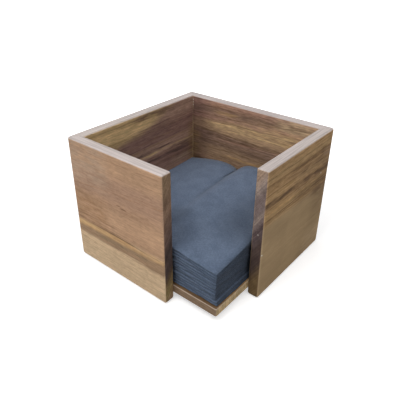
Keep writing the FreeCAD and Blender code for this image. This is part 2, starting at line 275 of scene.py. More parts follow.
class Board(Shader):
    """Oiled acacia board, measured in mm along the grain, across it and inward from a face.

    The figure is drawn at a level, which is the height across the board, slanted through its
    thickness and made to wander a little.
    """

    # Noise patterns of the wood: a feature's length and width in mm, a shift that tells the
    # patterns apart, and the detail
    SWEEP = (120, 60, 0.0, 2.0)
    RIPPLE = (38, 9, 3.1, 2.0)
    WEDGE_EDGE = (30, 7, 8.8, 2.0)
    BREAKS = (20, 4, 12.5, 2.0)
    DARKENING_EDGE = (40, 25, 6.6, 2.0)
    FIBRES = (16, 0.55, 1.7, 2.0)
    VESSELS = (5.5, 0.42, 5.3, 1.0)
    BLOTCHES = (45, 22, 9.4, 3.0)
    DASHES = (10, 1.5, 20.1, 1.0)
    MOTTLE = (5, 2.6, 31.7, 1.0)
    GLUE_PATCHES = (50, 9, 2.6, 3.0)

    # Growth lines: their width across the bands and their drift along them, in mm, and the detail
    COARSE_RINGS = (7.0, 300, 3.0)
    FINE_RINGS = (1.7, 150, 2.0)
    DARK_LINES = (9.0, 420, 2.0)
    END_RINGS = (3.2, 300, 2.0)

    # Noise on the end grain: a feature's height and depth in mm, and the detail
    END_WAVES = (14, 9, 2.0)
    END_BLOTCHES = (9, 5, 3.0)

    # Sapwood: how far its edge wanders and the stretch over which it sets in, in mm
    SAPWOOD_ROUGHNESS = 7.0
    SAPWOOD_EDGE = (-7.5, 6.5)

    # Streaks: the least reach to either side in mm, the shares of the reach between which a
    # streak fades, how far it fades to either side of its two ends in mm, and the noise values
    # between which it comes back from the strength that it has where it is broken up
    LEAST_REACH = 0.5
    STREAK_SIDES = (0.2, 0.65)
    STREAK_FADE = 9
    BREAK_ONSET = (0.35, 0.6)
    BREAK_STRENGTH = 0.35

    # How unevenly the darkening fades, as a share of the way on which it does
    DARKENING_ROUGHNESS = 0.15

    # End grain: how squarely a face meets the grain where it sets in, how far its rings wander
    # in mm, the noise values that its rings lie between, and the strength of rings and blotches
    MEETS_GRAIN = (0.75, 0.95)
    END_SWEEP = 5.0
    END_RING_RANGE = (0.35, 0.65)
    END_CONTRAST = 0.13

    # Fine grain: noise values between which a pore sets in, how far the noise is from the middle
    # of its range where a dark line has faded, strengths, and shares of the rings' strength
    PORE_ONSET = (0.64, 0.76)
    DARK_LINE_REACH = 0.025
    MOTTLE_CONTRAST, FIBRE_CONTRAST, BLOTCH_CONTRAST, PORE_CONTRAST = 0.05, 0.08, 0.075, 0.5
    FINE_RING_SHARE, DARK_LINE_SHARE = 0.7, 2.2

    # Painted highlight on the arrises: how squarely a place faces along an axis, from a full arris
    # to a plain face, how far up it faces, from an upright arris to a fully lit one, and the
    # strength of the highlight on the former
    ARRIS_SQUARENESS = (0.75, 0.995)
    ARRIS_UPWARD = (0.05, 0.4)
    UPRIGHT_ARRIS = 0.2

    # Painted sheen on the rim: how far up a place faces and how far under the rim it lies in mm,
    # each from no sheen to full, the length and width of its fine lines in mm, the strength of
    # those and of its blotches, and how much of the wood it hides
    RIM_UPWARD = (0.3, 0.8)
    RIM_ONSET = (6, 2.5)
    RIM_LINES = (45, 1.3)
    RIM_LINE_CONTRAST, RIM_BLOTCH_CONTRAST = 0.18, 0.05
    RIM_COVER = 0.94

    # Marks: where each one fades, as shares of a fleck's half size and in mm for glue and pale
    # specks, with the strength of the flecks and of the glue in its thin patches and its thick
    # ones
    FLECK_EDGE = (0.5, 1.3)
    FLECK_STRENGTH = 0.6
    GLUE_EDGE = (0.5, 1.3)
    GLUE_PATCH_RANGE = (0.35, 0.65)
    GLUE_THIN, GLUE_THICK = 0.25, 0.8
    SPECK_EDGE = (0.5, 1.1)

    def __init__(self, name, grain, outward, face, seed, slope, sweep, ripple):
        super().__init__(name)
        self.grain = grain
        self.seed = seed
        self.slope = slope
        self.place = self.object_place()
        self.axes = dict(zip("XYZ", self.split(self.place)))
        across_axis = next(axis for axis in "ZYX" if axis not in (grain, outward))
        self.along = self.math("DIVIDE", self.axes[grain], MM)
        self.across = self.math("DIVIDE", self.axes[across_axis], MM)
        self.inward = self.math("DIVIDE", self.math("SUBTRACT", self.axes[outward], face), MM)
        self.facing = self.true_normal()
        slanted = self.math("MULTIPLY_ADD", self.inward, slope, self.across)
        swept = self.math("ADD", slanted, self.wander(self.pattern(self.SWEEP), sweep))
        self.level = self.math("ADD", swept, self.wander(self.pattern(self.RIPPLE), ripple))
        self.fibres = self.pattern(self.FIBRES)
        self.vessels = self.spread(self.pattern(self.VESSELS), *self.PORE_ONSET)
        self.blotches = self.spread(self.pattern(self.BLOTCHES), *MOST_NOISE)

    def pattern(self, features):
        """Noise with features of a length along the grain and a width across it."""
        length, width, shift, detail = features
        return self.noise(
            self.vector(self.math("DIVIDE", self.along, length),
                        self.math("MULTIPLY_ADD", self.across, 1 / width, self.seed + shift),
                        self.math("DIVIDE", self.inward, width)), detail)

    def growth(self, lines):
        """Growth lines: noise that changes fast across the bands and slowly along them."""
        width, drift, detail = lines
        return self.noise(
            self.vector(self.math("DIVIDE", self.level, width),
                        self.math("MULTIPLY_ADD", self.along, 1 / drift, self.seed), 0.0),
            detail)

    def end_noise(self, features):
        """Noise with features of a height and a depth, for the end grain."""
        height, depth, detail = features
        return self.noise(self.vector(self.math("DIVIDE", self.across, height),
                                      self.math("DIVIDE", self.inward, depth), self.seed),
                          detail)

    def wander(self, noise, reach):
        """Noise made to run from minus to plus the reach."""
        return self.math("MULTIPLY", self.math("SUBTRACT", noise, 0.5), 2 * reach)

    def progress(self, start, end):
        """Share of the way from one place along the board to another, both in mm."""
        return self.math("DIVIDE", self.math("SUBTRACT", self.along, start), end - start)

    def banded(self, bands, progress):
        """Colour of bands that each climb evenly from the board's start to its end.

        A place's height at the start is its level less what its band has climbed on the way,
        and the climb in turn depends on the height at the start: a few rounds settle both.
        """
        heights = [height for height, climb, tone in bands]
        lowest = min(heights)
        span = max(heights) - lowest
        greatest = max(abs(climb) for height, climb, tone in bands) + 1.0
        climbs = [((height - lowest) / span, grey(0.5 + climb / greatest / 2))
                  for height, climb, tone in bands]
        above_lowest = self.math("DIVIDE", self.math("SUBTRACT", self.level, lowest), span)
        at_start = above_lowest
        for refinement in range(3):
            climbed = self.math("MULTIPLY",
                                self.math("SUBTRACT", self.ramp(at_start, climbs), 0.5),
                                2 * greatest / span)
            at_start = self.math("SUBTRACT", above_lowest,
                                 self.math("MULTIPLY", climbed, progress))
        return self.ramp(at_start, [((height - lowest) / span, tone)
                                    for height, climb, tone in bands])

    def with_sapwood(self, colour, start, tone, height, rise, middle):
        """Pale wedge over an edge that starts flat and then climbs ever more steeply."""
        reached = self.math("MAXIMUM", self.progress(start, middle), 0.0)
        edge = self.math("MULTIPLY_ADD", self.math("POWER", reached, 3.0), rise, height)
        rough = self.wander(self.pattern(self.WEDGE_EDGE), self.SAPWOOD_ROUGHNESS)
        above = self.math("SUBTRACT", self.math("ADD", self.level, rough), edge)
        return self.mix(self.spread(above, *self.SAPWOOD_EDGE), colour, tone)

    def with_streaks(self, colour, streaks, progress):
        """Lines and wedges of figure, broken up here and there, with soft sides and ends."""
        breaks = self.spread(self.pattern(self.BREAKS), *self.BREAK_ONSET,
                             self.BREAK_STRENGTH, 1.0)
        for height, climb, width, widening, tone, strength, first, last in streaks:
            middle = self.math("MULTIPLY_ADD", progress, climb, height)
            away = self.distance(self.level, middle)
            reach = self.math("MAXIMUM", self.math("MULTIPLY_ADD", progress, widening, width),
                              self.LEAST_REACH)
            beside = self.math("DIVIDE", away, reach)
            mark = self.product(
                breaks,
                self.spread(beside, *self.STREAK_SIDES, strength, 0.0),
                self.spread(self.along, first - self.STREAK_FADE, first + self.STREAK_FADE),
                self.spread(self.along, last - self.STREAK_FADE, last + self.STREAK_FADE,
                            1.0, 0.0))
            colour = self.mix(mark, colour, tone)
        return colour

    def with_darkening(self, colour, tone, darkest, clear):
        """Darkening, partly the wood's figure and partly painted corner shade, full at one place
        along the board and gone at another.
        """
        share = self.math("ADD", self.progress(clear, darkest),
                          self.wander(self.pattern(self.DARKENING_EDGE), self.DARKENING_ROUGHNESS))
        return self.multiplied(self.spread(share, 0.0, 1.0), colour, tone)

    def with_end_grain(self, colour, ends, core):
        """End grain on the faces square to the grain, with the rings slanting through it."""
        lowest = min(height for height, tone in ends)
        span = max(height for height, tone in ends) - lowest
        slanted = self.math("MULTIPLY_ADD", self.math("SUBTRACT", self.inward, core),
                            self.slope, self.across)
        slanted = self.math("ADD", slanted,
                            self.wander(self.end_noise(self.END_WAVES), self.END_SWEEP))
        turned = self.ramp(self.math("DIVIDE", self.math("SUBTRACT", slanted, lowest), span),
                           [((height - lowest) / span, tone) for height, tone in ends])
        rings = self.spread(self.growth(self.END_RINGS), *self.END_RING_RANGE)
        turned = self.tint(turned, rings, self.END_CONTRAST)
        blotches = self.spread(self.end_noise(self.END_BLOTCHES), *MOST_NOISE)
        turned = self.tint(turned, blotches, self.END_CONTRAST)
        across_grain = self.math("ABSOLUTE", self.facing["XYZ".index(self.grain)])
        return self.mix(self.spread(across_grain, *self.MEETS_GRAIN), colour, turned)

    def with_fine_grain(self, colour, rings, dashes, calm):
        """Growth lines, dashes, mottle, fibres, blotches, dark lines and pores."""
        liveliness = 1.0
        if calm:
            below, above, share = calm
            liveliness = self.spread(self.level, below, above, share, 1.0)
        # Each pattern, the range of it that counts, and its contrast
        patterns = (
            (self.growth(self.COARSE_RINGS), MOST_NOISE, rings),
            (self.growth(self.FINE_RINGS), MOST_NOISE, self.FINE_RING_SHARE * rings),
            (self.pattern(self.DASHES), (0.32, 0.68), dashes),
            (self.pattern(self.MOTTLE), MOST_NOISE, self.MOTTLE_CONTRAST),
            (self.fibres, (0.25, 0.75), self.FIBRE_CONTRAST),
        )
        for noise, (low, high), contrast in patterns:
            colour = self.tint(colour, self.spread(noise, low, high),
                               self.product(liveliness, contrast))
        colour = self.tint(colour, self.blotches, self.BLOTCH_CONTRAST)
        dark_line = self.spread(self.distance(self.growth(self.DARK_LINES), 0.5),
                                0.0, self.DARK_LINE_REACH, 1.0, 0.0)
        for mark, strength, tone in (
                (dark_line, self.DARK_LINE_SHARE * rings, GROWTH_LINE_TINT),
                (self.vessels, self.PORE_CONTRAST, PORE_TINT)):
            colour = self.multiplied(self.product(mark, strength, liveliness), colour, tone)
        return colour

    def with_flecks(self, colour, flecks):
        """Small dark oval marks."""
        for along, height, length, width in flecks:
            offset = self.vector(
                self.math("DIVIDE", self.math("SUBTRACT", self.along, along), length / 2),
                self.math("DIVIDE", self.math("SUBTRACT", self.across, height), width / 2),
                0.0)
            share = self.spread(self.length(offset), *self.FLECK_EDGE, self.FLECK_STRENGTH, 0.0)
            colour = self.mix(share, colour, KNOT)
        return colour

    def with_arris_highlights(self, colour, arris_light):
        """Painted highlight on the arrises, lighter than the faces, most of all where they face
        upward.
        """
        squareness = 0.0
        for share in self.facing:
            squareness = self.math("MAXIMUM", squareness, self.math("ABSOLUTE", share))
        arris = self.product(
            self.spread(squareness, *self.ARRIS_SQUARENESS, arris_light, 0.0),
            self.spread(self.facing[2], *self.ARRIS_UPWARD, self.UPRIGHT_ARRIS, 1.0))
        # the arris is lightened by a painted highlight
        return self.mix(arris, colour, self.mix(0.5, colour, ARRIS_HIGHLIGHT))

    def with_painted_rim_sheen(self, colour):
        """Rim top lightened with painted sheen, with fine lines along the board."""
        height = self.math("DIVIDE", self.axes["Z"], MM)
        rim = self.product(self.spread(self.facing[2], *self.RIM_UPWARD),
                           self.spread(height, *(RIM / MM - under for under in self.RIM_ONSET)))
        length, width = self.RIM_LINES
        lines = self.noise(self.vector(self.math("DIVIDE", self.along, length), self.seed,
                                       self.math("DIVIDE", self.inward, width)))
        pale = self.tint(RIM_SHEEN_TONE, self.spread(lines, *MOST_NOISE), self.RIM_LINE_CONTRAST)
        pale = self.tint(pale, self.blotches, self.RIM_BLOTCH_CONTRAST)
        # the rim's paleness is painted sheen
        return self.mix(self.product(rim, self.RIM_COVER), colour, pale)

    def with_glue_line(self, colour, seam):
        """Squeezed-out glue along the inner corner at the seam's place along the board."""
        near = self.math("ADD", self.distance(self.along, seam),
                         self.math("ABSOLUTE", self.inward))
        patches = self.spread(self.pattern(self.GLUE_PATCHES), *self.GLUE_PATCH_RANGE,
                              self.GLUE_THIN, self.GLUE_THICK)
        glue = self.product(self.spread(near, *self.GLUE_EDGE, 1.0, 0.0), patches)
        return self.mix(glue, colour, GLUE)

    def with_pale_specks(self, colour, specks):
        """Small round pale flecks at places in mm."""
        for *spot, strength in specks:
            away = self.node("ShaderNodeVectorMath",
                             ((0, self.place), (1, [x * MM for x in spot])),
                             operation="DISTANCE").outputs[1]
            share = self.spread(away, *(edge * MM for edge in self.SPECK_EDGE), strength, 0.0)
            colour = self.mix(share, colour, PALE_SPECK)
        return colour


def acacia(name, grain, outward, face, start, end, bands, *, seed, sweep, ripple, rings, dashes,
           slope=0.3, ends=None, core=0.0, sapwood=None, streaks=(), calm=None, darkening=None,
           flecks=(), specks=(), seam=None, arris_light=0.35, sheened_rim=True, gloss=0.05):
    """Material of an oiled acacia board. Lengths are in mm, but for the face.

    grain is the axis that the fibres run along, outward the axis square to the board's broad
    faces, and face the place in metres of the broad face that the figure is drawn on. The bands
    climb between the places start and end along the board. bands lists (height at the start,
    climb, colour). seed shifts all the noise. sweep and ripple are how far the bands wander in
    long waves and in short ones; rings and dashes are the strength of the growth lines and of
    the short dashes along them. slope is how steeply the growth rings lie through the
    thickness. ends lists (height, colour) for the end grain, and core is the depth at which
    those heights hold.

    sapwood is (colour, height, rise, along) of a pale wedge whose lower edge has climbed by the
    rise at that place. streaks are (height, climb, width, widening, colour, strength, from, to)
    of single lines or wedges of figure. calm is (below, above, share): the grain has only this
    share of its strength under the first height, and all of it over the second. darkening is
    (colour, full, clear) of a darkening, partly the wood's figure and partly painted corner shade,
    with the places along the board where it is full and where it is gone. flecks are (along,
    height, length, width) of small dark marks, specks (x, y, z, strength) of small pale flecks,
    and seam is the place along the board of a line of glue. arris_light is how strongly a painted
    highlight lightens the upward arrises, sheened_rim says whether the board's rim gets painted
    sheen, and gloss is the specular level.
    """
    board = Board(name, grain, outward, face, seed, slope, sweep, ripple)
    progress = board.progress(start, end)
    colour = board.banded(bands, progress)
    if sapwood:
        colour = board.with_sapwood(colour, start, *sapwood)
    colour = board.with_streaks(colour, streaks, progress)
    # darkening: partly the wood's figure, partly painted corner shade
    if darkening:
        colour = board.with_darkening(colour, *darkening)
    if ends:
        colour = board.with_end_grain(colour, ends, core)
    colour = board.with_fine_grain(colour, rings, dashes, calm)
    colour = board.with_flecks(colour, flecks)
    # painted highlight on the upward arrises
    colour = board.with_arris_highlights(colour, arris_light)
    # painted sheen on the rim
    if sheened_rim:
        colour = board.with_painted_rim_sheen(colour)
    if seam is not None:
        colour = board.with_glue_line(colour, seam)
    colour = board.with_pale_specks(colour, specks)
    relief = board.math("MULTIPLY_ADD", board.vessels, -PORE_DEPTH, board.fibres)
    roughness = board.math("MULTIPLY_ADD", board.fibres, ROUGHNESS_OF_FIBRES, LEAST_ROUGHNESS)
    return board.surface(relief, WOOD_RELIEF, Base_Color=colour, Roughness=roughness,
                         Specular_IOR_Level=gloss)


def joinery_wood(name):
    """Plain beech of the hidden splines and dowels, with upright fibres."""
    s = Shader(name)
    x, y, z = s.split(s.object_place())
    width, length = BEECH_FIBRES
    fibres = s.noise(s.vector(s.math("DIVIDE", x, width), s.math("DIVIDE", y, width),
                              s.math("DIVIDE", z, length)), 3.0)
    low, high = MOST_NOISE
    colour = s.ramp(fibres, [(low, BEECH_DARK), (high, BEECH_LIGHT)])
    return s.surface(fibres, WOOD_RELIEF, Base_Color=colour, Roughness=0.6,
                     Specular_IOR_Level=0.4)


# ---- the wooden box: boards ----

# Bands: (height at the start, climb, tone). Streaks: (height, climb, width, widening, tone,
# strength, from, to). End grain: (height, tone). All lengths and places are in mm.

FRONT_BANDS = [
    (0, 0, SAPWOOD), (22, 0, SAPWOOD), (32, 0, CREAM), (35, 0, DUSK), (40.5, 4.5, DUSK),
    (43.5, 5, GOLD), (48, 3, GOLD), (49.5, 2, SAND), (60, 2, SAND), (76, 4, SAND),
    (90, 8, CLAY), (106, 8, CLAY), (120, 2, SAND), (140, 0, SAND),
]
FRONT_STREAKS = [
    (38.2, 4.2, 4.5, 0, MOSS, 0.55, -62, 12), (51.2, -1.8, 1.9, 0, LINE, 0.9, -110, 5),
    (68, 0, 40, 0, RUST, 0.9, -140, -45), (120, 0, 52, 0, PALE, 0.85, -140, -40),
    (48, 2, 6, 0, CREAM, 0.5, -10, 60), (46.5, 1.5, 4.5, -1.5, STRAW, 0.6, -120, -40),
    (50.6, -1.6, 0.9, 0, LINE, 0.6, -20, 50), (52.6, -0.8, 1.1, 0, LINE, 0.6, -110, -10),
    (57.2, 3, 1.9, 0, LINE, 0.65, -110, -30), (60.8, 3, 1, 0, LINE, 0.35, -100, -50),
    (92.6, 13.5, 1.4, 0, ROSE, 0.75, -100, 50), (96.5, 12, 1, 0, ROSE, 0.5, -70, 20),
    (80, 8, 9, 0, ROSE, 0.3, -60, 20), (31.6, 4, 1.6, 0, CREAM, 0.8, -110, 0),
    (19.5, -1.5, 1.4, 0, DUSK, 0.25, -20, 60), (24.5, -1, 1.2, 0, DUSK, 0.25, -90, 10),
    (131, 3, 1.6, 0, ROSE, 0.4, -95, 50),
]
RIGHT_BANDS = [
    (0, 0, BISCUIT), (50, 0, BISCUIT), (80, -3, BISCUIT), (84.5, -5, BRASS),
    (86.5, -3, CARAMEL), (91, 0, BRASS), (93.5, 0.5, BUTTER), (95.4, 0.5, BRASS),
    (98, 0, CARAMEL), (107.5, -3, CARAMEL), (111, -1, BRASS), (117, -1, CARAMEL),
    (125, -3, CARAMEL), (130, -2, BRASS), (140, 0, CARAMEL),
]
RIGHT_STREAKS = [
    (80, -1, 10, 0, CHESTNUT, 0.6, 55, 140), (14, 0, 36, 0, CREAM, 0.5, 55, 140),
    (95.6, 0.5, 4.5, 0, BUTTER, 0.5, -60, 12), (89.4, 0, 3.5, 0, BUTTER, 0.5, -60, 12),
    (100, 0, 46, 0, TEAK, 0.38, 22, 140), (84, 0, 84, 0, TEAK, 0.45, 66, 140),
    (121, 0, 16, 0, CHESTNUT, 0.3, 10, 140), (104.8, -3.2, 5.4, 0, CHESTNUT, 0.95, -60, 110),
    (101.6, -2, 1.4, 0, CHESTNUT, 0.6, -60, 60), (110.8, 0, 1.8, 0, BUTTER, 0.25, -60, 40),
    (114.6, -1, 1.5, 0, TEAK, 0.75, -60, 80), (98.3, 0.6, 1.2, 0, CHESTNUT, 0.4, 0, 110),
    (91, 0.4, 1.2, 0, CHESTNUT, 0.35, -10, 100), (87.5, 0.5, 1.6, 0, TEAK, 0.8, -60, 110),
    (86.6, -4.5, 1.3, 0, TEAK, 0.6, -30, 80), (84.8, -7, 1, 0, CHESTNUT, 0.45, -10, 100),
    (119.5, -2, 1.4, 0, TEAK, 0.5, 0, 110), (124.6, -3.5, 2.2, 0, TEAK, 0.6, -40, 110),
    (128.8, -1, 1.3, 0, BUTTER, 0.5, -60, 60), (133.4, 1.5, 1.4, 0, BUTTER, 0.55, -60, 60),
    (131, 0, 1.2, 0, TEAK, 0.55, -40, 100), (136.6, 1, 1.2, 0, TEAK, 0.5, -50, 100),
    (94.2, 0.5, 2, 0, BUTTER, 0.35, -60, 0), (121, -2, 9, 0, PALE, 0.7, 78, 140),
    (112.5, -1, 5, 0, AMBER, 0.4, -60, 20),
]
BACK_BANDS = [
    (50, 0, COCOA), (72, 4, TAN), (80, 0, TAN), (88, 0, COCOA), (100, 0, COCOA), (104, 0, TAN),
    (112, 4, TAN), (117, 5, CINNAMON), (126, 5, COCOA), (134, 5, CINNAMON), (146, 5, CINNAMON),
]
BACK_STREAKS = [
    (78, 0, 60, 0, OCHRE, 0.85, -130, -72), (84, 0, 12, 0, UMBER, 0.3, -35, 30),
    (108, 9, 5, 34, FLAX, 0.9, -90, 100), (132, 0, 16, 0, CREAM, 0.75, 36, 120),
    (93, 5, 5, 0, UMBER, 0.45, -40, 12), (109, 6, 3, 12, STRAW, 0.4, -50, 60),
    (102.6, -3, 2.2, 0, UMBER, 0.8, -80, 60), (98, 0, 1.5, 0, UMBER, 0.6, -60, 70),
    (92, 6, 2, 0, CINNAMON, 0.7, -45, 40), (88, 4, 1.6, 0, UMBER, 0.6, -80, 60),
    (70.5, 6, 3, 0, GOLD, 0.8, -35, 40), (83, 2, 2.4, 0, TAN, 0.7, -90, -30),
    (78, 3, 1.8, 0, UMBER, 0.6, -70, 30), (109.5, 9, 2.4, 0, STRAW, 0.6, -60, 60),
    (106.6, 4, 1.6, 0, STRAW, 0.6, -30, 70), (112, 8, 1.4, 0, UMBER, 0.5, -50, 60),
    (116, 14, 1.3, 0, UMBER, 0.5, -30, 80), (125.5, 4, 5, 0, GOLD, 0.6, -46, -16),
    (134, 3, 2, 0, GOLD, 0.45, -50, -20), (121, 4, 1.8, 0, UMBER, 0.6, -90, -10),
    (130, 5, 1.6, 0, UMBER, 0.6, -70, 10),
]
LEFT_BANDS = [
    (50, 0, MOCHA), (70, 0, BARK), (80, 0, BARK), (85, 0, MOCHA), (93, 3, MOCHA), (98, 4, BARK),
    (112, 6, BARK), (122, 6, MOCHA), (136, 6, MOCHA), (150, 6, MOCHA),
]
LEFT_STREAKS = [
    (84, 0, 12, 0, SMOKE, 0.5, 40, 140), (66, 0, 8, 0, PALE, 0.75, 45, 140),
    (80, 0, 64, 0, OCHRE, 0.85, 77, 130), (137, 0, 13, 0, COCOA, 0.8, -18, 45),
    (86.3, 1.8, 2.4, 0, STRAW, 0.8, -90, 85), (90.2, 1.5, 2.8, 0, SMOKE, 0.9, -60, 45),
    (93.5, 6, 2.2, 0, TAN, 0.8, -60, 70), (97, 5.5, 1.4, 0, SMOKE, 0.6, -40, 60),
    (79.8, -2, 4, 0, SMOKE, 0.8, -60, 70), (83.2, 0.5, 1.3, 0, LINE, 0.6, -40, 80),
    (102, 5, 1.6, 0, TAN, 0.6, -40, 50), (107, 5, 1.8, 0, SMOKE, 0.6, -60, 40),
    (72, 0, 2.2, 0, TAN, 0.6, 10, 100), (112, 6, 1.6, 0, TAN, 0.4, -20, 60),
    (116, 10, 1.4, 0, SMOKE, 0.5, -10, 80), (127, 8, 1.8, 0, SMOKE, 0.5, 20, 100),
    (133.5, 4, 1.6, 0, UMBER, 0.15, -70, 10), (122.5, 2, 1.2, 0, UMBER, 0.2, -90, -20),
]
BASE_BANDS = [
    (-95, 0, ASH), (-82.4, 0, ASH), (-81.5, 0, UMBER), (-60, 0, AMBER), (-20, 0, GOLD),
    (40, 0, DUSK), (95, 0, AMBER),
]
# The end grain's own dark tones also carry painted shade: they are darkest at mid height, beside
# the napkin pile, and lighter towards the top
FRONT_ENDS = [
    (0, DUSK), (14, FERN), (28, TOFFEE), (38, EBONY), (64, EBONY), (76, SMOKE), (100, WALNUT),
    (140, NUT),
]
RIGHT_ENDS = [
    (0, TOFFEE), (20, TOFFEE), (38, EBONY), (58, EBONY), (68, PLUM), (78, PLUM), (86, DUSTY),
    (90, PEWTER), (98, DUSTY), (114, DUSTY), (124, PEWTER), (140, PALE),
]
BASE_ENDS = [(-95, WHEAT), (95, WHEAT)]

# Where the back wall's bands end their climb, in mm
BACK_BANDS_END = 50

BOARD_LOOKS = {
    "front_wall": acacia(
        "acacia_front_wall", "X", "Y", FRONT_FACE, LEFT_FACE / MM, FRONT_WALL_END / MM,
        FRONT_BANDS, seed=1.3, sweep=1.6, ripple=0.9, rings=0.055, dashes=0.07, slope=-1.5,
        ends=FRONT_ENDS, core=6, streaks=FRONT_STREAKS,
        flecks=[(-19, 87, 9, 1.6), (-26, 88.5, 7, 0.9)]),
    "right_wall": acacia(
        "acacia_right_wall", "Y", "X", RIGHT_FACE, RIGHT_WALL_END / MM, BACK_FACE / MM,
        RIGHT_BANDS, seed=4.1, sweep=1.6, ripple=1.2, rings=0.10, dashes=0.09, slope=-1.5,
        ends=RIGHT_ENDS, core=-6, streaks=RIGHT_STREAKS, calm=(79, 86, 0.25), gloss=0.0,
        specks=[(95, 76.4, 96.1, 0.9), (95, -30.7, 52.7, 1.0), (89.6, -32, 74, 0.3)]),
    "back_wall": acacia(
        "acacia_back_wall", "X", "Y", INNER_BACK, INNER_LEFT / MM, BACK_BANDS_END,
        BACK_BANDS, seed=7.7, sweep=1.8, ripple=2.4, rings=0.14, dashes=0.16,
        # darker towards the inner left corner: partly figure, partly painted corner shade
        streaks=BACK_STREAKS, darkening=(COOL_DARKENING, -74, -45), seam=INNER_LEFT / MM,
        specks=[(-82.4, 83, 135, 0.8), (-82.4, 83, 132, 0.6), (-82.4, 83, 128.5, 0.5)]),
    "left_wall": acacia(
        "acacia_left_wall", "Y", "X", INNER_LEFT, FRONT_FACE / MM, BACK_FACE / MM,
        LEFT_BANDS, seed=11.9, sweep=2.2, ripple=1.6, rings=0.12, dashes=0.10,
        sapwood=(STRAW, 113, 19, 27), streaks=LEFT_STREAKS),
    "base_panel": acacia(
        "acacia_base_panel", "X", "Z", BASE_UNDERSIDE, LEFT_FACE / MM, RIGHT_FACE / MM,
        BASE_BANDS, seed=15.2, sweep=0.6, ripple=0.4, rings=0.12, dashes=0.15, slope=0.0,
        # the base's arrises get the strongest painted highlight
        ends=BASE_ENDS, arris_light=1.0, sheened_rim=False),
}
hidden_wood = joinery_wood("beech_joinery")
for name, node in frame["nodes"].items():
    if name in NAPKINS:
        continue
    node.data.materials.clear()
    node.data.materials.append(BOARD_LOOKS.get(name, hidden_wood))


# ---- folded napkins ----

# The pile in mm: its height above the base panel at the corners, and the extra height half way
# across, both as in the solids
PILE_OPEN_CORNER, PILE_FRONT_LEFT, PILE_BACK_LEFT, PILE_BACK_RIGHT = 39, 36, 41.5, 60
PILE_CROWN = 7

# The crease that runs from front to back and deepens on the way, here a little shallower and
# further right than in the solids
CREASE_FRONT_X, CREASE_BACK_X = -0.5, -11
CREASE_DEPTH, CREASE_SPREAD = 9.5, 12
CREASE_ROUND = 1.0         # radius of its bottom
CREASE_CLOSE_UP = np.arange(-22, 5, 1.1)   # places across it that get points of their own

# Its sharp bottom in the top napkin, and the shares of the pile's depth where that starts and
# is full
GROOVE_DEPTH, GROOVE_SPREAD = 0.5, 3.0
GROOVE_START, GROOVE_FULL = 0.36, 0.61

# Crest of the sheets to the right of the crease, full from this share of the depth on
CREST, CREST_OFFSET, CREST_SPREAD = 1.8, 15, 12
CREST_FULL = 0.5

# The sheets, in mm
FLAT_SIDE = 330            # a napkin opened out flat
PAPER = 0.34               # thickness of the tissue
PLIES = 4                  # sheets of tissue on top of each other once it is folded twice
ALLOWANCE = 0.3            # how much narrower than its slab a folded napkin is
FOOT_INSET = 1.7           # how much further in the lowest napkin's open sides lie
CUT_EDGE_WAVE, CUT_EDGE_PITCH = 0.25, 61       # unevenness of the right side
FRONT_FOLD_WAVE, FRONT_FOLD_PITCH = 0.5, 47    # and of the front
LOOSENESS = 0.022 / 3      # how far the plies wander up and down, as a share of the pile
LOOSE_PITCHES = (52, 38)   # lengths of the two waves in which they do

FOLD_STEPS = 6             # points round half a fold
FLAT_STEPS = 30            # points from a fold to the cut edge
FLAT_CROWDING = 1.15       # power that draws them together near the fold

napkin_low, napkin_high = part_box(NAPKINS[0])
HALF_WIDTH = (napkin_high.x - napkin_low.x) / 2 / MM
HALF_DEPTH = (napkin_high.y - napkin_low.y) / 2 / MM

# The paper: its tones, the size in mm of the features of its noise and their contrast, and the
# depth of its relief
SLATE_DARK, SLATE_LIGHT = srgb(82, 95, 115), srgb(90, 103, 123)
FELT_SIZE, PULP_SIZE, CLOUD_SIZE = 0.45, 1.6, 14.0
FELT_CONTRAST, PULP_CONTRAST = 0.16, 0.13
PAPER_RELIEF = 0.12 * MM

# Its soft shades: how dark each one is, and the places in mm between which it sets in or ends
CREVICE_SHADE, CREVICE_UPWARD = 0.86, (-0.55, 0.35)        # by how far up a place faces
CUT_EDGE_SHADE, CUT_EDGE_RIGHTWARD = 0.6, (0.5, 0.8)       # by how far right it faces
WALL_SHADE = 0.3
WALL_SHADE_X, WALL_SHADE_Y = (26, 62), (-60, -22)
END_SHADE = 0.26
END_SHADE_LEFT, END_SHADE_RIGHT = (-22, -4), (4, 20)
END_SHADE_FRONT, END_SHADE_BACK = (-66, -50), (-36, -20)
CREASE_SHADE, CREASE_SHADE_WIDTH = 0.2, 5.5


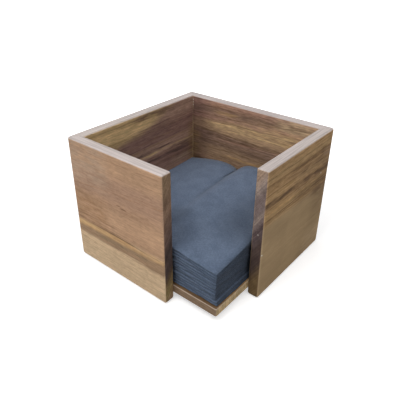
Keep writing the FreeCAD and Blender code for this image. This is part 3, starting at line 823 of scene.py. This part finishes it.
def napkin_paper(name):
    """Soft dyed tissue: slate blue, slightly cloudy, with a fine felted surface."""
    s = Shader(name)
    place = s.object_place()
    x, y = (s.math("DIVIDE", axis, MM) for axis in s.split(place)[:2])
    facing = s.true_normal()

    def grain(size, detail):
        """Noise with features of a size in mm."""
        scaled = s.node("ShaderNodeVectorMath", ((0, place), (3, 1 / (size * MM))),
                        operation="SCALE").outputs[0]
        return s.noise(scaled, detail)

    def shaded(colour, *shares):
        """Colour darkened by the product of the shares."""
        return s.mix(s.product(*shares), colour, grey(0))

    felt = grain(FELT_SIZE, 3.0)
    pulp = grain(PULP_SIZE, 2.0)
    clouds = grain(CLOUD_SIZE, 3.0)
    colour = s.ramp(clouds, [(0.35, SLATE_DARK), (0.65, SLATE_LIGHT)])
    colour = s.tint(colour, s.spread(pulp, 0.25, 0.75), PULP_CONTRAST)
    colour = s.tint(colour, s.spread(felt, 0.25, 0.75), FELT_CONTRAST)

    # There is little light between the plies, least of all at the cut edges on the right
    colour = shaded(colour, s.spread(facing[2], *CREVICE_UPWARD, CREVICE_SHADE, 0.0))
    colour = shaded(colour, s.spread(facing[0], *CUT_EDGE_RIGHTWARD, 0.0, CUT_EDGE_SHADE))
    # The right wall shades the tall side of the pile
    colour = shaded(colour, s.spread(x, *WALL_SHADE_X, 0.0, WALL_SHADE),
                    s.spread(y, *WALL_SHADE_Y))
    # The front wall's end shades a patch beside it
    colour = shaded(colour, s.spread(x, *END_SHADE_LEFT),
                    s.spread(x, *END_SHADE_RIGHT, END_SHADE, 0.0),
                    s.spread(y, *END_SHADE_FRONT), s.spread(y, *END_SHADE_BACK, 1.0, 0.0))
    # The two sides of the crease shade its bottom
    deep = s.math("DIVIDE", s.math("ADD", y, HALF_DEPTH), 2 * HALF_DEPTH)
    crease_x = s.math("MULTIPLY_ADD", deep, CREASE_BACK_X - CREASE_FRONT_X, CREASE_FRONT_X)
    colour = shaded(colour, s.spread(s.distance(x, crease_x), 0.0, CREASE_SHADE_WIDTH,
                                     CREASE_SHADE, 0.0),
                    s.spread(deep, GROOVE_START, GROOVE_FULL))

    height = s.math("MULTIPLY_ADD", felt, 0.5, pulp)
    return s.surface(height, PAPER_RELIEF, Base_Color=colour, Roughness=0.92,
                     Specular_IOR_Level=0.15, Sheen_Weight=0.1, Sheen_Roughness=0.6)


def pile_height(x, y, near_top=0.0):
    """Height of the pile above the base panel at places in mm, given as arrays.

    near_top is 1 for the pile's top, falls to 0 one napkin below it, and sets the groove's depth.
    """
    across = (x + HALF_WIDTH) / (2 * HALF_WIDTH)
    deep = (y + HALF_DEPTH) / (2 * HALF_DEPTH)
    front = PILE_FRONT_LEFT * (1 - across) + PILE_OPEN_CORNER * across
    back = PILE_BACK_LEFT * (1 - across) + PILE_BACK_RIGHT * across
    crown = PILE_CROWN * np.sin(np.pi * np.clip(across, 0, 1))
    from_crease = x - (CREASE_FRONT_X * (1 - deep) + CREASE_BACK_X * deep)
    away = np.sqrt(from_crease ** 2 + CREASE_ROUND ** 2) - CREASE_ROUND
    crease = CREASE_DEPTH * np.clip(deep, 0, 1) ** 2 * np.exp(-away / CREASE_SPREAD)
    grooved = near_top * np.clip((deep - GROOVE_START) / (GROOVE_FULL - GROOVE_START), 0, 1)
    groove = GROOVE_DEPTH * grooved * np.exp(-away / GROOVE_SPREAD)
    crest = CREST * np.clip(deep / CREST_FULL, 0, 1) * np.exp(
        -((from_crease - CREST_OFFSET) / CREST_SPREAD) ** 2)
    return front * (1 - deep) + back * deep + crown + crest - crease - groove


def wave(position, pitch, phase):
    """Gentle irregular wave from -1 to 1 along a position in mm."""
    turn = 2 * np.pi * position / pitch
    return 0.6 * np.sin(turn + phase) + 0.4 * np.sin(2.3 * turn + 1.7 * phase)


def fold_positions(radius, close_up=()):
    """Distances along the sheet from a fold: close together round it, wider on the flat.

    close_up lists further distances, where the sheet has a fine shape.
    """
    arc = radius * np.pi / 2
    round_the_fold = np.linspace(0, arc, FOLD_STEPS, endpoint=False)
    flat = arc + (FLAT_SIDE / 2 - arc) * np.linspace(0, 1, FLAT_STEPS) ** FLAT_CROWDING
    half = np.concatenate([round_the_fold, np.unique(np.concatenate([flat, close_up]))])
    return np.concatenate([-half[:0:-1], half])


def fold_in_four(s, t, ply):
    """Sheet folded at its left, where s is 0, and then in front, where t is 0.

    Gives x from the left and y from the front, in mm, and the tier: 0 in the lowest ply, 3 in
    the highest one.
    """
    first_angle = np.clip(s / (ply / 2), -np.pi / 2, np.pi / 2)
    side = np.sin(first_angle)
    past_first = np.maximum(np.abs(s) - ply * np.pi / 4, 0)
    x = ply / 2 * (1 - np.cos(first_angle)) + past_first
    # In front, the sheet's outer half goes round the inner one
    bend = ply * (2 - side) / 2
    second_angle = np.clip(t / bend, -np.pi / 2, np.pi / 2)
    past_second = np.maximum(np.abs(t) - bend * np.pi / 2, 0)
    y = 1.5 * ply - bend * np.cos(second_angle) + past_second
    tier = (PLIES - 1) / 2 + np.sin(second_angle) * (1 - side / 2)
    return x, y, tier


def paper_mesh(name, middle):
    """Closed mesh of a sheet of paper, from a grid of points in mm in its middle surface."""
    normal = np.cross(np.gradient(middle, axis=0), np.gradient(middle, axis=1))
    normal /= np.linalg.norm(normal, axis=-1, keepdims=True)
    skins = [middle + normal * PAPER / 2, middle - normal * PAPER / 2]
    points = np.concatenate([skin.reshape(-1, 3) for skin in skins])
    points = points * MM + np.array([0, 0, BASE_TOP])

    rows, columns = middle.shape[:2]
    index = np.arange(rows * columns).reshape(rows, columns)
    quads = np.stack([index[:-1, :-1], index[1:, :-1], index[1:, 1:], index[:-1, 1:]],
                     axis=-1).reshape(-1, 4)
    edge = np.concatenate([index[:-1, 0], index[-1, :-1], index[:0:-1, -1], index[0, :0:-1]])
    following = np.roll(edge, -1)
    below = rows * columns
    rim = np.stack([following, edge, edge + below, following + below], axis=-1)
    faces = np.concatenate([quads, quads[:, ::-1] + below, rim])

    mesh = bpy.data.meshes.new(name)
    mesh.from_pydata(points.tolist(), [], faces.tolist())
    mesh.polygons.foreach_set("use_smooth", [True] * len(mesh.polygons))
    mesh.update()
    return mesh


def folded_napkin(number, count, shift, turn):
    """One napkin folded in four, in its place in the pile."""
    thickness = pile_height(np.array(0.0), np.array(0.0)) / count
    ply = thickness / PLIES
    close_up = HALF_WIDTH + CREASE_CLOSE_UP if number == count else ()
    along_s = fold_positions(ply / 2, close_up)
    along_t = fold_positions(1.5 * ply)
    x, y, tier = fold_in_four(*np.meshgrid(along_s, along_t, indexing="ij"), ply)

    # Drawn in to fit the well, with the right side and the front a little uneven
    inset = FOOT_INSET * (1 - number / count)
    x *= (2 * HALF_WIDTH - ALLOWANCE - inset) / x.max()
    y *= (2 * HALF_DEPTH - ALLOWANCE - inset) / y.max()
    phase = 1.9 * number + 0.8 * tier
    x -= HALF_WIDTH + (CUT_EDGE_WAVE * wave(y, CUT_EDGE_PITCH, phase)
                       * x / (2 * HALF_WIDTH))
    y -= HALF_DEPTH - inset + (FRONT_FOLD_WAVE * wave(x, FRONT_FOLD_PITCH, phase)
                               * (1 - y / (2 * HALF_DEPTH)))
    x, y = (x * math.cos(turn) - y * math.sin(turn) + shift[0],
            x * math.sin(turn) + y * math.cos(turn) + shift[1])

    # Each ply lies at its share of the pile's height, give or take a little
    share = (number - 1 + (tier + 0.5) / PLIES) / count
    long_pitch, short_pitch = LOOSE_PITCHES
    loose = LOOSENESS * np.sin(np.pi * share) * (
        wave(x + 0.4 * y, long_pitch, 0.4) * np.sin(3 * 2 * np.pi * share)
        + wave(0.6 * x - y, short_pitch, 2.2) * np.sin(5 * 2 * np.pi * share + 1))
    near_top = np.clip(1 - (1 - share) * count, 0, 1)
    z = pile_height(x, y, near_top) * (share + loose)

    name = f"folded_napkin_{number:02d}"
    piece = bpy.data.objects.new(name, paper_mesh(name, np.stack([x, y, z], axis=-1)))
    bpy.context.scene.collection.objects.link(piece)
    return piece


# Small slips of each napkin in the pile: to the right, to the back, and round, in mm and degrees
SLIPS = [
    (1.1, 0.3, 0.1), (1.0, 0.5, -0.1), (-1.1, 0.2, 0.1), (-0.9, 0.5, 0.05), (-1.0, 0.2, -0.1),
    (-0.8, 0.45, 0.1), (-0.9, 0.25, 0.0), (-0.6, 0.5, -0.08), (-0.7, 0.2, 0.1), (-0.4, 0.5, -0.05),
    (-0.4, 0.2, 0.06), (-0.1, 0.45, -0.1), (0.1, 0.2, 0.0),
]

paper = napkin_paper("slate_napkin_paper")
for number, (name, (right, back, turn)) in enumerate(zip(NAPKINS, SLIPS), start=1):
    napkin = folded_napkin(number, len(NAPKINS), (right, back), math.radians(turn))
    napkin.data.materials.append(paper)
    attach(napkin, frame["nodes"][name]["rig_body"])
    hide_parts(name)


# ---- floor, light and camera ----

FLOOR_GAP = 0.1 * MM       # keeps the floor clear of the feet, which end at the same height
FLOOR_TONE = 0.7
FLOOR_NEAR = 0.15          # metres from the object's middle within which the floor is least lifted
FLOOR_FAR = 0.6            # and beyond which it is lifted to full white


def seen_directly(nodes):
    """1 for a ray from the camera, from a reflection or through a clear body, 0 for others."""
    path = nodes.node("ShaderNodeLightPath")
    return nodes.math("MAXIMUM", path.outputs["Is Camera Ray"],
                      nodes.math("MAXIMUM", path.outputs["Is Glossy Ray"],
                                 path.outputs["Is Transmission Ray"]))


def make_world(fill):
    """White backdrop that lights the scene with no more than the fill."""
    world = bpy.data.worlds.new("studio")
    world.use_nodes = True
    nodes = NodeTree(world.node_tree)
    background = world.node_tree.nodes["Background"]
    background.inputs["Color"].default_value = grey(1)
    world.node_tree.links.new(nodes.spread(seen_directly(nodes), 0.0, 1.0, fill, 1.0),
                              background.inputs["Strength"])
    bpy.context.scene.world = world


def make_floor(half_side, lift):
    """White table top with a glow that the camera and reflections see, but that lights nothing.

    The glow grows from the lift near the object, whose shadow it leaves, to full white.
    """
    mesh = bpy.data.meshes.new("floor")
    corners = [(x * half_side, y * half_side, -FLOOR_GAP)
               for x, y in ((-1, -1), (1, -1), (1, 1), (-1, 1))]
    mesh.from_pydata(corners, [], [(0, 1, 2, 3)])
    floor = bpy.data.objects.new("floor", mesh)
    bpy.context.scene.collection.objects.link(floor)
    s = Shader("white_floor")
    diffuse = s.node("ShaderNodeBsdfDiffuse", (("Color", grey(FLOOR_TONE)),))
    strength = s.product(seen_directly(s),
                         s.spread(s.length(s.object_place()), FLOOR_NEAR, FLOOR_FAR, lift,
                                  1.0))
    glow = s.node("ShaderNodeEmission", (("Color", grey(1)), ("Strength", strength)))
    both = s.node("ShaderNodeAddShader", ((0, diffuse.outputs[0]), (1, glow.outputs[0])))
    mesh.materials.append(s.end(both))


def direction(azimuth, elevation):
    """Unit vector from the object towards a place; azimuth 0 is the front, 90 the right."""
    turn, rise = math.radians(azimuth), math.radians(elevation)
    return Vector((math.sin(turn) * math.cos(rise), -math.cos(turn) * math.cos(rise),
                   math.sin(rise)))


def aim(thing, target):
    thing.rotation_euler = (target - thing.location).to_track_quat("-Z", "Y").to_euler()


def add_softbox(name, azimuth, elevation, distance, side, power):
    """Square light that faces the middle of the box from a distance in metres."""
    light = bpy.data.lights.new(name, "AREA")
    light.shape = "SQUARE"
    light.size = side
    light.energy = power
    lamp = bpy.data.objects.new(name, light)
    bpy.context.scene.collection.objects.link(lamp)
    centre = Vector((0, 0, RIM / 2))
    lamp.location = centre + direction(azimuth, elevation) * distance
    aim(lamp, centre)


make_world(fill=0.03)
make_floor(half_side=4.0, lift=0.55)
add_softbox("front_key", azimuth=-4, elevation=60, distance=1.6, side=0.5, power=8.0)
add_softbox("right_key", azimuth=75, elevation=55, distance=1.6, side=0.5, power=3.0)
add_softbox("overhead", azimuth=0, elevation=89, distance=1.4, side=2.0, power=16.0)
add_softbox("front_fill", azimuth=-10, elevation=25, distance=1.6, side=1.2, power=7.5)
add_softbox("right_fill", azimuth=85, elevation=30, distance=1.6, side=1.2, power=2.0)
add_softbox("left_fill", azimuth=-90, elevation=45, distance=1.6, side=0.6, power=2.5)

# The photograph's camera, as fitted to the corners of the box: angles in degrees, places in
# metres, the lens in mm, and the shift as a share of the frame
CAMERA_AZIMUTH, CAMERA_ELEVATION, CAMERA_DISTANCE = 40.10, 28.81, 0.5050
CAMERA_TARGET = Vector((-0.0258, 0.0100, 0.0703))
CAMERA_LENS, CAMERA_SENSOR = 40.80, 36
CAMERA_SHIFT = (0.0245, -0.0451)

camera_data = bpy.data.cameras.new("camera")
camera_data.sensor_width = CAMERA_SENSOR
camera_data.lens = CAMERA_LENS
camera_data.shift_x, camera_data.shift_y = CAMERA_SHIFT
camera = bpy.data.objects.new("camera", camera_data)
bpy.context.scene.collection.objects.link(camera)
camera.location = CAMERA_TARGET + direction(CAMERA_AZIMUTH, CAMERA_ELEVATION) * CAMERA_DISTANCE
aim(camera, CAMERA_TARGET)
bpy.context.scene.camera = camera
bpy.context.scene.view_settings.view_transform = "Standard"
